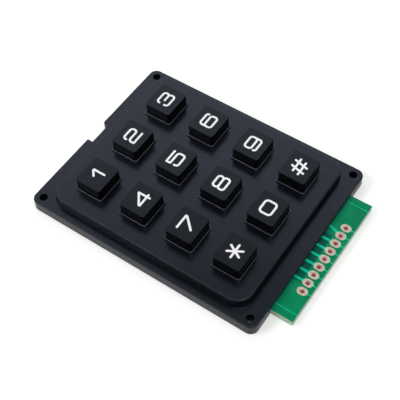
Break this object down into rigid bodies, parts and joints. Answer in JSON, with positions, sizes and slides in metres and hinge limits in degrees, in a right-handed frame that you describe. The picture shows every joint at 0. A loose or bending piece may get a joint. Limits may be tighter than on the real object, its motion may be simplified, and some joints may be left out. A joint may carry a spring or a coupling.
{
  "type": "matrix keypad",
  "caption": "Flat telephone-style keypad module with a black bezel, sprung hard keys and a board tab with a row of solder pads.",
  "frame": {"origin": "centre of the four corner holes, on the flange's bottom face", "axes": "+X from key 1 to key 3, +Y from the board tab towards key 1, +Z out of the key tops"},
  "size_m": [0.0516, 0.0697, 0.0093],
  "materials": {
    "bezel_black": "fine moulded texture",
    "key_black": "smooth satin",
    "legend_white": "printed ink",
    "mat_silicone": "matt silicone",
    "board_green": "solder mask over glass fibre",
    "masked_copper": "copper under solder mask",
    "bare_copper": "plated",
    "tinned_pads": "tinned",
    "carbon_ink": "carbon filled"
  },
  "bodies": {
    "housing": {"bezel": "bezel_black", "circuit_board": "board_green", "rubber_mat": "mat_silicone", "header_pads": "tinned_pads", "switch_contacts": "carbon_ink", "top_tracks": "masked_copper", "back_tracks": "masked_copper", "board_vias": "bare_copper"},
    "button_1": {"key_1": "key_black", "legend_1": "legend_white", "pill_1": "carbon_ink"},
    "button_2": {"key_2": "key_black", "legend_2": "legend_white", "pill_2": "carbon_ink"},
    "button_3": {"key_3": "key_black", "legend_3": "legend_white", "pill_3": "carbon_ink"},
    "button_4": {"key_4": "key_black", "legend_4": "legend_white", "pill_4": "carbon_ink"},
    "button_5": {"key_5": "key_black", "legend_5": "legend_white", "pill_5": "carbon_ink"},
    "button_6": {"key_6": "key_black", "legend_6": "legend_white", "pill_6": "carbon_ink"},
    "button_7": {"key_7": "key_black", "legend_7": "legend_white", "pill_7": "carbon_ink"},
    "button_8": {"key_8": "key_black", "legend_8": "legend_white", "pill_8": "carbon_ink"},
    "button_9": {"key_9": "key_black", "legend_9": "legend_white", "pill_9": "carbon_ink"},
    "button_star": {"key_star": "key_black", "legend_star": "legend_white", "pill_star": "carbon_ink"},
    "button_0": {"key_0": "key_black", "legend_0": "legend_white", "pill_0": "carbon_ink"},
    "button_hash": {"key_hash": "key_black", "legend_hash": "legend_white", "pill_hash": "carbon_ink"}
  },
  "joints": [
    {"name": "press_1", "type": "slide", "parent": "housing", "child": "button_1", "axis": [0, 0, -1], "range_m": [0, 0.001], "stiffness_N_per_m": 800, "deforming": ["rubber_mat"]},
    {"name": "press_2", "type": "slide", "parent": "housing", "child": "button_2", "axis": [0, 0, -1], "range_m": [0, 0.001], "stiffness_N_per_m": 800, "deforming": ["rubber_mat"]},
    {"name": "press_3", "type": "slide", "parent": "housing", "child": "button_3", "axis": [0, 0, -1], "range_m": [0, 0.001], "stiffness_N_per_m": 800, "deforming": ["rubber_mat"]},
    {"name": "press_4", "type": "slide", "parent": "housing", "child": "button_4", "axis": [0, 0, -1], "range_m": [0, 0.001], "stiffness_N_per_m": 800, "deforming": ["rubber_mat"]},
    {"name": "press_5", "type": "slide", "parent": "housing", "child": "button_5", "axis": [0, 0, -1], "range_m": [0, 0.001], "stiffness_N_per_m": 800, "deforming": ["rubber_mat"]},
    {"name": "press_6", "type": "slide", "parent": "housing", "child": "button_6", "axis": [0, 0, -1], "range_m": [0, 0.001], "stiffness_N_per_m": 800, "deforming": ["rubber_mat"]},
    {"name": "press_7", "type": "slide", "parent": "housing", "child": "button_7", "axis": [0, 0, -1], "range_m": [0, 0.001], "stiffness_N_per_m": 800, "deforming": ["rubber_mat"]},
    {"name": "press_8", "type": "slide", "parent": "housing", "child": "button_8", "axis": [0, 0, -1], "range_m": [0, 0.001], "stiffness_N_per_m": 800, "deforming": ["rubber_mat"]},
    {"name": "press_9", "type": "slide", "parent": "housing", "child": "button_9", "axis": [0, 0, -1], "range_m": [0, 0.001], "stiffness_N_per_m": 800, "deforming": ["rubber_mat"]},
    {"name": "press_star", "type": "slide", "parent": "housing", "child": "button_star", "axis": [0, 0, -1], "range_m": [0, 0.001], "stiffness_N_per_m": 800, "deforming": ["rubber_mat"]},
    {"name": "press_0", "type": "slide", "parent": "housing", "child": "button_0", "axis": [0, 0, -1], "range_m": [0, 0.001], "stiffness_N_per_m": 800, "deforming": ["rubber_mat"]},
    {"name": "press_hash", "type": "slide", "parent": "housing", "child": "button_hash", "axis": [0, 0, -1], "range_m": [0, 0.001], "stiffness_N_per_m": 800, "deforming": ["rubber_mat"]}
  ]
}
